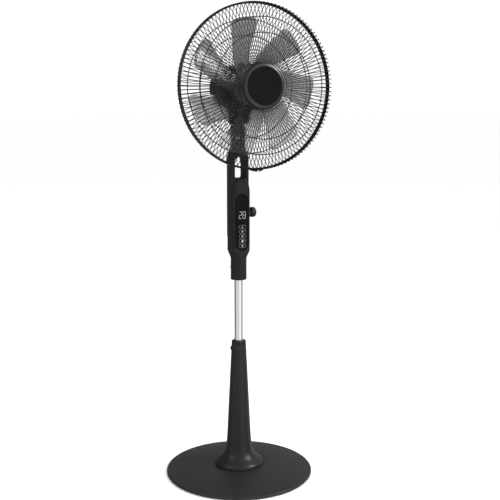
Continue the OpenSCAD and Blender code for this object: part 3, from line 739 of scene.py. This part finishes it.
def display():
    """Two lit digits made of seven bars each."""
    middle = (span("display")[0].z + span("display")[1].z) / 2 + 0.5
    height, width, bar = 20.0, 8.6, 1.15
    shape = Shape()
    for digit, x in ((2, -5.6), (8, 5.6)):
        for name in SEGMENTS[digit]:
            upright = name in "bcef"
            dx = {"b": 1, "c": 1, "e": -1, "f": -1}.get(name, 0) * (width - bar) / 2
            dz = {"a": 2, "g": 0, "d": -2, "b": 1, "f": 1, "c": -1, "e": -1}[name] * (height - bar) / 4
            length = (height - bar) / 2 - 0.5 if upright else width - bar - 0.5
            half_l, half_b = length / 2, bar / 2
            outline = [(-half_l, 0), (-half_l + half_b, half_b), (half_l - half_b, half_b), (half_l, 0),
                       (half_l - half_b, -half_b), (-half_l + half_b, -half_b)]
            if upright:
                outline = [(b, -a) for a, b in outline]
            shape.add(*plate([[(x + dx + a, middle + dz + b) for a, b in outline]],
                             panel_low.y - 0.12, 0.16, 0.02))
    build("display_digits", shape.verts, shape.faces, "mast", "display_white", lit_white, ["display"])


def sign_outlines(kind, z):
    """Outlines of the plain sign on a button."""
    if kind == "timer":
        return [[[(-2.1, z - 2.2), (2.1, z - 2.2), (0, z + 2.4)]]]
    if kind == "swing":
        return [[oval(1.3, 5.2, z, x)] for x in (-1.5, 1.5)]
    if kind == "mode":
        return [[oval(5.4, 5.4, z), oval(3.4, 3.4, z)]]
    if kind == "speed":
        leaf = [(2.9 * math.cos(a) + 1.5 * math.sin(a), z + 2.9 * math.cos(a) - 1.5 * math.sin(a))
                for a in steps(0, 2 * math.pi, 20)[:-1]]
        return [[leaf]]
    bell = rounded([(-2.6, z - 1.6, 0.3), (2.6, z - 1.6, 0.3), (1.5, z + 0.4, 0.8), (1.1, z + 2.6, 1.0),
                    (-1.1, z + 2.6, 1.0), (-1.5, z + 0.4, 0.8)], count=3)
    return [[bell], [oval(1.6, 0.9, z - 2.5)]]


def push_buttons():
    for kind in ("power", "speed", "mode", "swing", "timer"):
        node = "button_" + kind
        body = kind + "_key"
        low, high = span(node)
        z = (low.z + high.z) / 2
        width, height = high.x - low.x, high.z - low.z
        shape = Shape()
        shape.add(*plate([oval(width, height, z)], low.y, 3.2, 0.45))
        stem = rounded([(0, low.y + 3.1, 0), (1.8, low.y + 3.1, 0), (1.8, high.y, 0.3), (0, high.y, 0)],
                        count=3)
        shape.add(*turned(stem, "y", (0, z), count=24))
        build(kind + "_button", shape.verts, shape.faces, body, "key_gloss", gloss_black, [node])
        ring = plate([oval(width - 1.0, height - 1.0, z), oval(width - 2.0, height - 2.0, z)],
                     low.y - 0.05, 0.09, 0.02)
        build(kind + "_button_ring", *ring, body, "key_gloss", grey_print)
        sign = Shape()
        for outlines in sign_outlines(kind, z):
            sign.add(*plate(outlines, low.y - 0.06, 0.1, 0.02))
        build(kind + "_button_sign", sign.verts, sign.faces, body, "key_gloss", white_print)


def clamp_knob():
    start = neck_half_w + 2.4
    r = knob_high.z - knob_z
    end = knob_high.x
    grips = 24

    def lobes(angle, radius):
        return radius - (0.35 * (0.5 + 0.5 * math.cos(grips * angle)) ** 3 if radius > r - 1.2 else 0)

    profile = rounded([(0, start, 0), (10.5, start, 0.6), (11, 34, 1.5), (r - 0.8, 35.6, 1.2),
                       (r, 38, 1.0), (r, end - 4.5, 3.5), (r - 5, end - 0.6, 3.5), (0, end, 0)], count=6)
    shape = Shape()
    shape.add(*turned(profile, "x", (0, knob_z), count=192, lobes=lobes))
    stud = [(0, pole_r + 0.6), (3, pole_r + 0.6), (3, start + 0.5), (0, start + 0.5)]
    shape.add(*turned(stud, "x", (0, knob_z), count=32))
    build("clamping_knob", shape.verts, shape.faces, "knob", "knob_plastic",
          trim_black, ["clamp_knob"], sharp=50)


# ---- bracket and chin ----

def bracket_field(x, y, z):
    half = cup_barrel_half
    barrel = np.maximum(np.hypot(y - tilt_y, z - tilt_z) - 15.0, np.abs(x) - half)
    web = rect_field(x, y - 3, half, 14, 5)
    web = np.maximum(web, np.maximum(tilt_z - z, z - cup_high.z + 1))
    r = np.hypot(x, y - swing_y)
    cup_r = cup_high.x
    cup = rect_field(r, z - (cup_high.z + 8), cup_r, 8 + cup_high.z - cup_low_z, 9.0)
    cup = common(cup, z - cup_high.z, 0.8)
    body = join(join(barrel, web, 3.0), cup, 4.0)
    body = common(body, np.abs(x) - cup_r, 0.5)
    return np.maximum(body, -(np.hypot(y - tilt_y, z - tilt_z) - 5.05))


def tilt_bracket():
    low = (-cup_high.x, cup_low.y, tilt_z - 16)
    blended("tilt_knuckle", bracket_field, low, tuple(cup_high), 1.2,
            "bracket", "bracket_plastic", head_black, "tilt_bracket")


def chin_field(x, y, z):
    low = cup_high.z + 0.4
    r = np.hypot(x, y - swing_y)
    t = smooth((z - low) / 30)
    wall = (r - (30 + 4 * t)) * 0.97
    away = np.hypot(x, z - axis_z) - motor_r
    body = join(wall, away + 1.5, 7.0)
    body = np.maximum(body, np.maximum(r - 46, z - low - 50))
    body = common(body, low - z, 0.8)
    inner = np.maximum(r - 26.5, np.maximum(low + 4 - z, z - 1022))
    return np.maximum(np.maximum(body, -(away - 0.05)), -inner)


def swivel_base():
    low = (-40, swing_y - 44, cup_high.z)
    blended("swivel_chin", chin_field, low, (40, swing_y + 44, 1056), 1.3,
            "head", "housing_plastic", head_black, "swivel_base")


# ---- motor ----

def motor_housing():
    front = housing_low.y + 12
    back = housing_high.y
    boss = 22
    wall = 2.5
    profile = rounded([(11, front + 10, 0), (11, front - 12, 0.5), (boss, front - 12, 0.8),
                       (boss, front, 1.0), (boss + 6, front, 0.6), (boss + 8, front - 1.2, 0.6),
                       (boss + 12, front - 1.2, 0.6), (boss + 14, front, 0.6), (motor_r - 1.2, front, 5.0),
                       (motor_r - 1.2, front + 9, 0.8), (motor_r, front + 10, 0.6), (motor_r, back, 0.4),
                       (motor_r - wall, back, 0), (motor_r - wall, front + 3, 2.0), (16, front + 3, 0),
                       (16, front + 10, 0)], count=5)
    verts, faces = turned(profile, "y", (0, axis_z), count=128)
    build("motor_barrel", verts, faces, "head", "housing_plastic", head_black, ["motor_housing"])


def rear_cover():
    """Domed shell with a ring of cooling slots that are really open."""
    start = span("rear_cover")[0].y
    slots = 14
    across = slots * 12

    def dome(angle):
        t = (angle - 20) / 70
        r = motor_r * math.cos(max(0, t) * math.pi / 2) ** 0.6
        return (r, dome_start_y + (dome_y - dome_start_y) * math.sin(t * math.pi / 2))

    outline = [(motor_r, start), (motor_r, start + 2)] + [dome(a) for a in steps(20, 88, 30)] + [(0, dome_y)]
    first, last = 20, 29

    def keep(i, j):
        return not (first <= j < last and i % 12 in (4, 5, 6, 7))

    verts, faces = turned(outline, "y", (0, axis_z), count=across, closed=False, keep=keep)
    piece = build("rear_dome", verts, faces, "head", "housing_plastic", head_black, ["rear_cover"], sharp=60)
    shell = piece.modifiers.new("wall", "SOLIDIFY")
    shell.thickness = 2.2 * MM
    shell.offset = -1
    edge = piece.modifiers.new("edge", "BEVEL")
    edge.width = 0.4 * MM
    edge.segments = 2
    edge.limit_method = "ANGLE"
    edge.angle_limit = math.radians(50)


def grille_nut():
    low, high = span("grille_nut")
    r = high.x

    def lobes(angle, radius):
        return radius - (2.6 * max(0, math.cos(6 * angle)) ** 6 if radius > r - 2 else 0)

    profile = rounded([(22.1, low.y, 0.4), (r - 1.5, low.y, 1.5), (r, low.y + 1.5, 0.8), (r, high.y, 0.4),
                       (22.1, high.y, 0.2)], count=4)
    verts, faces = turned(profile, "y", (0, axis_z), count=144, lobes=lobes)
    build("grille_fixing_nut", verts, faces, "head", "nut_plastic", trim_black, ["grille_nut"], sharp=50)


# ---- guard ----

def dish(flat_y, bend_y, side, start, power):
    """Depth at a radius, and the path of one wire from a radius out to the band."""
    end_r = skirt_r - bend * (1 - math.sin(bend_from))
    end_y = bend_y - side * bend * math.cos(bend_from)

    def depth(r):
        return flat_y + (end_y - flat_y) * (max(0, r - start) / (end_r - start)) ** power

    def path(inner):
        points = [(r, depth(r)) for r in [inner] + steps(max(inner + 6, start), end_r - 1, 11)]
        points += [(skirt_r - bend + bend * math.sin(a), bend_y - side * bend * math.cos(a))
                   for a in steps(bend_from, math.pi / 2, 5)]
        return points + [(skirt_r, band_y - side * skirt_gap)]

    return depth, path


FRONT = dict(flat_y=-160, bend_y=-133, side=1, start=128, power=1.6)
REAR = dict(flat_y=-50, bend_y=-94, side=-1, start=64, power=3.3)


def wires(inner, profile):
    shape = Shape()
    depth, path = dish(**profile)
    for i in range(wire_count):
        angle = 2 * math.pi * i / wire_count
        s, c = math.sin(angle), math.cos(angle)
        shape.add(*tube([(r * s, y, axis_z + r * c) for r, y in path(inner)], wire_r, sides=6))
    inward = profile["side"] * 2 * wire_r * 0.9
    for r in ring_radii:
        shape.add(*tube(ring_path(r, depth(r) + inward), wire_r * 1.25, sides=8, closed=True))
    end_y = band_y - profile["side"] * (skirt_gap + wire_r)
    shape.add(*tube(ring_path(skirt_r - 1.5 * wire_r, end_y), wire_r, sides=8, closed=True))
    return shape, depth


def front_grille():
    shape, depth = wires(cap_r + 0.6, FRONT)
    shape.add(*tube(ring_path(cap_r + 1.8, depth(cap_r) + 1.4), wire_r * 1.1, sides=8, closed=True))
    build("front_guard", shape.verts, shape.faces, "head", "wire_black", enamel, ["front_grille"], sharp=70)


def rear_grille():
    plate_r = 64
    shape = wires(plate_r - 1, REAR)[0]
    flat = REAR["flat_y"]
    disc = rounded([(22.2, flat - 1, 0.3), (30, flat - 1, 1), (34, flat - 2, 1), (50, flat - 2, 1),
                    (54, flat - 1, 1), (plate_r, flat - 1, 0.5), (plate_r, flat + 1, 0.5),
                    (54, flat + 1, 1), (50, flat, 1), (34, flat, 1), (30, flat + 1, 1),
                    (22.2, flat + 1, 0.3)], count=3)
    shape.add(*turned(disc, "y", (0, axis_z), count=96))
    build("rear_guard", shape.verts, shape.faces, "head", "wire_black", enamel, ["rear_grille"], sharp=60)


def guard_cap():
    front = cap_low.y
    back = cap_high.y
    wall = 2.2
    profile = rounded([(0, front + 1.2, 0), (48.8, front + 1.2, 0.4), (49.6, front + 0.1, 0.4),
                       (51.6, front, 1.2), (57.5, front + 2.4, 5.0), (cap_r, front + 7, 3.0),
                       (cap_r, back, 0.6), (cap_r - wall, back, 0.3), (cap_r - wall, front + 8, 1.5),
                       (0, front + 5, 0)], count=6)
    verts, faces = turned(profile, "y", (0, axis_z), count=128)
    piece = build("centre_cap", verts, faces, "head", "cap_plastic", cap_ring_painted_light, ["guard_cap"])
    # the sunken disc in the middle gets a darker copy of the cap's black as painted shade, and the ring
    # around it a lighter copy as painted light on its bevel
    piece.data.materials.append(cap_disc_painted_shade)
    for face in piece.data.polygons:
        if math.hypot(face.center.x, face.center.z - axis_z * MM) < cap_disc_r * MM:
            face.material_index = 1


def rim_band():
    near, far = band_low.y, band_high.y
    inner = guard_r - 1.4
    groove = 0.5
    profile = rounded([(inner, near, 0.2), (guard_r - 1.0, near, 0.6), (guard_r, near + 1.6, 1.5),
                       (guard_r, band_y - 2.4, 0.4), (guard_r - groove, band_y - 1.8, 0.4),
                       (guard_r - groove, band_y + 1.8, 0.4), (guard_r, band_y + 2.4, 0.4),
                       (guard_r, far - 1.6, 1.5), (guard_r - 1.0, far, 0.6), (inner, far, 0.2),
                       (inner, band_y + 1.7, 0.3), (inner - 3, band_y + 1.7, 0.4),
                       (inner - 3, band_y - 1.7, 0.4), (inner, band_y - 1.7, 0.3)], count=3)
    verts, faces = turned(profile, "y", (0, axis_z), count=256)
    build("rim_hoop", verts, faces, "head", "band_plastic", gloss_band, ["rim_band"])


def rim_clip():
    """Clip that closes the hoop at its lowest point, with a thicker middle for the screw."""
    low, high = span("rim_clip")
    near, far = low.y, high.y
    bottom = low.z
    reach = high.x
    rows = []
    for x in steps(-reach, reach, 24):
        top = axis_z - math.sqrt((guard_r + 0.05) ** 2 - x * x)
        t = abs(x) / reach
        thick = 4.4 if t < 0.42 else 4.4 - 1.8 * float(smooth((t - 0.42) / 0.2))
        thick *= 1 - 0.35 * float(smooth((t - 0.85) / 0.15))
        section = rounded([(near, top, 0.3), (far, top, 0.3), (far, top - thick, 1.0),
                           (near, top - thick, 1.0)], count=3)
        rows.append([(x, y, max(bottom, z)) for y, z in section])
    count = len(rows[0])
    verts = [v for row in rows for v in row]
    faces = [(i * count + j, i * count + (j + 1) % count, (i + 1) * count + (j + 1) % count,
              (i + 1) * count + j)
             for i in range(len(rows) - 1) for j in range(count)]
    faces.append(tuple(range(count))[::-1])
    faces.append(tuple((len(rows) - 1) * count + j for j in range(count)))
    build("rim_hoop_clip", verts, faces, "head", "band_plastic", trim_black, ["rim_clip"], sharp=40)


# ---- blades ----

def blade():
    """One blade as a closed, cambered and twisted sheet."""
    shoulder = blade_r - blade_tip

    def edges(r):
        """Angles of the trailing and the leading edge at a radius."""
        along = min(r, shoulder) - blade_root_r
        lead = -3 + 11 * along / blade_span
        trail = -53 + 30 * math.sin(math.radians(90 * along / blade_span))
        if r > shoulder:
            curl = 1 - math.sqrt(max(0, 1 - ((r - shoulder) / blade_tip) ** 2))
            lead -= 5 * curl
            trail += 8 * curl
        return math.radians(trail), math.radians(lead)

    across = 16
    radii = steps(hub_r - 2, shoulder, 18)
    radii += [shoulder + blade_tip * math.sin(a) for a in steps(0, math.pi / 2, 7)[1:]]
    grids = []
    for face in (-1, 1):
        grid = []
        for r in radii:
            trail, lead = edges(r)
            out = (r - hub_r) / (blade_r - hub_r)
            pitch = math.radians(26 - 12 * out)
            middle = (trail + lead) / 2
            chord = r * (lead - trail)
            height = -86 - 4 * out
            thick = 1.0 - 0.35 * out
            row = []
            for t in steps(0, 1, across):
                angle = trail + (lead - trail) * t
                s = r * (angle - middle)
                camber = 0.07 * chord * (1 - (2 * t - 1) ** 2)
                rim = math.sqrt(max(0.0, 1 - abs(2 * t - 1) ** 8))
                y = height + s * math.tan(pitch) + camber + face * thick * (0.35 + 0.65 * rim)
                row.append((r * math.sin(angle), y, r * math.cos(angle)))
            grid.append(row)
        grids.append(grid)
    rows, cols = len(radii), across + 1
    verts = [v for grid in grids for row in grid for v in row]
    size = rows * cols
    faces = []
    for i in range(rows - 1):
        for j in range(cols - 1):
            a = i * cols + j
            faces.append((a, a + 1, a + cols + 1, a + cols))
            faces.append((size + a, size + a + cols, size + a + cols + 1, size + a + 1))
        for j in (0, cols - 1):
            a = i * cols + j
            faces.append((a, a + cols, size + a + cols, size + a))
    for j in range(cols - 1):
        for i in (0, rows - 1):
            a = i * cols + j
            faces.append((a, a + 1, size + a + 1, size + a))
    return verts, faces


def fan_blades():
    shape = Shape()
    verts, faces = blade()
    for i in range(blade_count):
        angle = 2 * math.pi * i / blade_count
        s, c = math.sin(angle), math.cos(angle)
        shape.add([(x * c + z * s, y, axis_z - x * s + z * c) for x, y, z in verts], faces)
    wall = 2.4
    hub = rounded([(4.05, hub_front_y + 5.5, 0), (4.05, hub_front_y, 0), (12, hub_front_y, 0.6),
                   (13, hub_front_y + 1.2, 0.5), (36, hub_front_y + 1.2, 1.5), (38, hub_front_y, 1.0),
                   (hub_r, hub_front_y, 4.0), (hub_r, hub_back_y, 0.5), (hub_r - wall, hub_back_y, 0.3),
                   (hub_r - wall, hub_front_y + 4, 2.5), (9, hub_front_y + 4, 0.6),
                   (9, hub_front_y + 5.5, 0.3)], count=5)
    shape.add(*turned(hub, "y", (0, axis_z), count=112))
    build("seven_blades", shape.verts, shape.faces, "rotor", "blade_smoke", smoke, ["fan_blades"], sharp=45)


def spinner_nut():
    low, high = span("spinner_nut")

    def lobes(angle, radius):
        return radius - (1.6 * max(0, math.cos(3 * angle)) ** 3 if 9 < radius < 16 else 0)

    profile = rounded([(4.02, high.y, 0), (19, high.y, 0.6), (19, high.y - 5, 1.5), (14, low.y + 6, 2.0),
                       (11, low.y, 3.0), (0, low.y, 0), (0, low.y + 4, 0), (4.02, low.y + 4, 0)], count=5)
    verts, faces = turned(profile, "y", (0, axis_z), count=120, lobes=lobes)
    build("spinner", verts, faces, "rotor", "nut_plastic", trim_black, ["spinner_nut"], sharp=50)


# ---- the CAD nodes that stay ----

KEPT = {
    "ballast_plate": steel, "base_screws": zinc, "column_tube": steel, "pole_glide": nylon,
    "neck_screws": black_zinc, "control_board": board_green, "key_switches": nylon, "clamp_nut": brass,
    "tilt_pin": black_zinc, "tilt_nut": black_zinc, "friction_washers": zinc, "clamp_washer": black_zinc,
    "swivel_post": steel, "swing_gear": nylon, "post_nut": zinc, "swing_motor": alloy,
    "swing_pinion": nylon, "motor_bolts": zinc, "stator_core": laminations, "stator_windings": copper,
    "front_bearing": bronze, "rear_bearing": bronze, "end_shield": alloy, "motor_capacitor": nylon,
    "clip_screw": zinc, "motor_shaft": steel, "rotor_core": laminations,
}


def paint_kept_nodes():
    for name, material in KEPT.items():
        mesh = nodes[name].data
        mesh.materials.clear()
        mesh.materials.append(material)


# ---- camera, floor and light ----

def camera():
    data = bpy.data.cameras.new("camera")
    data.lens = 63.2567
    data.clip_end = 400
    holder = bpy.data.objects.new("camera", data)
    holder.location = (-1.01056, -2.19669, 1.0175)
    heading, down = 0.4443, 0.1531
    holder.rotation_euler = (math.pi / 2 - down, 0, -heading)
    bpy.context.scene.collection.objects.link(holder)
    bpy.context.scene.camera = holder


def floor():
    material = bpy.data.materials.new("pale_floor")
    material.use_nodes = True
    shader = material.node_tree.nodes["Principled BSDF"]
    shader.inputs["Base Color"].default_value = (0.93, 0.93, 0.93, 1)
    shader.inputs["Roughness"].default_value = 0.9
    shader.inputs["Specular IOR Level"].default_value = 0.1
    mesh = bpy.data.meshes.new("floor")
    half = 200
    corners = [(-half, -half, 0), (half, -half, 0), (half, half, 0), (-half, half, 0)]
    mesh.from_pydata(corners, [], [(0, 1, 2, 3)])
    mesh.materials.append(material)
    plane = bpy.data.objects.new("floor", mesh)
    plane.visible_glossy = False
    bpy.context.scene.collection.objects.link(plane)


def lamp(name, place, aim, size, power):
    data = bpy.data.lights.new(name, "AREA")
    data.shape = "DISK"
    data.size = size
    data.energy = power
    holder = bpy.data.objects.new(name, data)
    holder.location = place
    holder.rotation_euler = (Vector(aim) - Vector(place)).to_track_quat("-Z", "Y").to_euler()
    holder.visible_camera = False
    bpy.context.scene.collection.objects.link(holder)


def studio():
    """A white room with two soft lamps. Reflections see light and dark sides in place of plain white."""
    world = bpy.data.worlds.new("studio")
    world.use_nodes = True
    bpy.context.scene.world = world
    tree = world.node_tree
    background = tree.nodes["Background"]
    background.inputs["Strength"].default_value = 1.0
    place = tree.nodes.new("ShaderNodeTexCoord")
    split = tree.nodes.new("ShaderNodeSeparateXYZ")
    tree.links.new(place.outputs["Generated"], split.inputs["Vector"])
    turn = tree.nodes.new("ShaderNodeMath")
    turn.operation = "ARCTAN2"
    tree.links.new(split.outputs["Y"], turn.inputs[0])
    tree.links.new(split.outputs["X"], turn.inputs[1])
    part = tree.nodes.new("ShaderNodeMapRange")
    part.inputs["From Min"].default_value = -math.pi
    part.inputs["From Max"].default_value = math.pi
    tree.links.new(turn.outputs["Value"], part.inputs["Value"])
    ramp = tree.nodes.new("ShaderNodeValToRGB")
    tree.links.new(part.outputs["Result"], ramp.inputs["Fac"])
    stops = ((0.0, 0.75), (0.06, 0.85), (0.132, 0.76), (0.20, 0.84), (0.25, 1.0), (0.28, 1.5), (0.345, 1.0),
             (0.42, 0.45), (0.45, 0.45), (0.53, 0.8), (0.60, 0.5), (0.68, 0.3), (0.80, 0.18), (0.90, 0.2),
             (0.96, 0.5), (1.0, 0.75))
    while len(ramp.color_ramp.elements) < len(stops):
        ramp.color_ramp.elements.new(0.5)
    for element, (at, level) in zip(ramp.color_ramp.elements, stops):
        element.position = at
        element.color = (level, level, level, 1)
    rays = tree.nodes.new("ShaderNodeLightPath")
    pick = tree.nodes.new("ShaderNodeMix")
    pick.data_type = "RGBA"
    colours = [s for s in pick.inputs if s.type == "RGBA"]
    colours[0].default_value = (1.08, 1.08, 1.08, 1)
    tree.links.new(rays.outputs["Is Glossy Ray"], pick.inputs["Factor"])
    tree.links.new(ramp.outputs["Color"], colours[1])
    tree.links.new([s for s in pick.outputs if s.type == "RGBA"][0], background.inputs["Color"])
    lamp("key_lamp", (2.4, -2.0, 2.6), (0, 0, 0.5), 1.3, 105)
    lamp("fill_lamp", (-3.0, -0.6, 2.6), (0, 0, 0.8), 1.3, 22)
    bpy.context.scene.view_settings.view_transform = "Standard"


base_cover()
base_feet()
column()
column_collar()
height_button()
pole()
neck()
socket_screw()
cord_gland()
control_panel()
display()
push_buttons()
clamp_knob()
tilt_bracket()
swivel_base()
motor_housing()
rear_cover()
grille_nut()
rear_grille()
front_grille()
guard_cap()
rim_band()
rim_clip()
fan_blades()
spinner_nut()
paint_kept_nodes()
camera()
floor()
studio()
